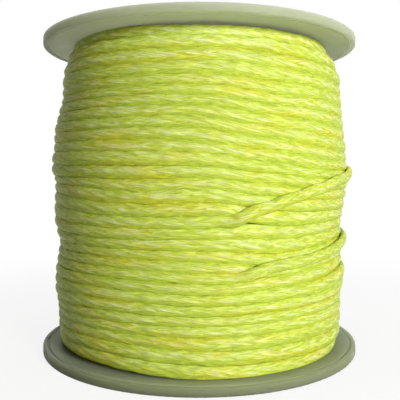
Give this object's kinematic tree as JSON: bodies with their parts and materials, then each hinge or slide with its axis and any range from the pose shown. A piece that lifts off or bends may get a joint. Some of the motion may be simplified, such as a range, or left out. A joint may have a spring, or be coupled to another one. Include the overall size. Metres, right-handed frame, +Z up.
{
  "type": "fishing line spool",
  "caption": "Flanged plastic spool wound full of braided neon yellow line, with a spindle bore through its core.",
  "frame": {"origin": "centre of the lower flange's outer face, on which the spool stands", "axes": "+Z up along the spindle bore's axis, -Y towards the side on which the last turn crosses the winding"},
  "size_m": [0.065, 0.065, 0.0636],
  "materials": {
    "flange_plastic": "natural polypropylene, moulded, milky and slightly translucent, satin",
    "core_plastic": "natural polypropylene, extruded tube, satin",
    "line": "fluorescent yellow multifilament line, braided from sixteen strands, slightly glossy"
  },
  "bodies": {
    "root": {"upper_flange": "flange_plastic", "lower_flange": "flange_plastic", "core_tube": "core_plastic", "line_pack": "line", "line_outer_turns": "line"}
  },
  "joints": []
}
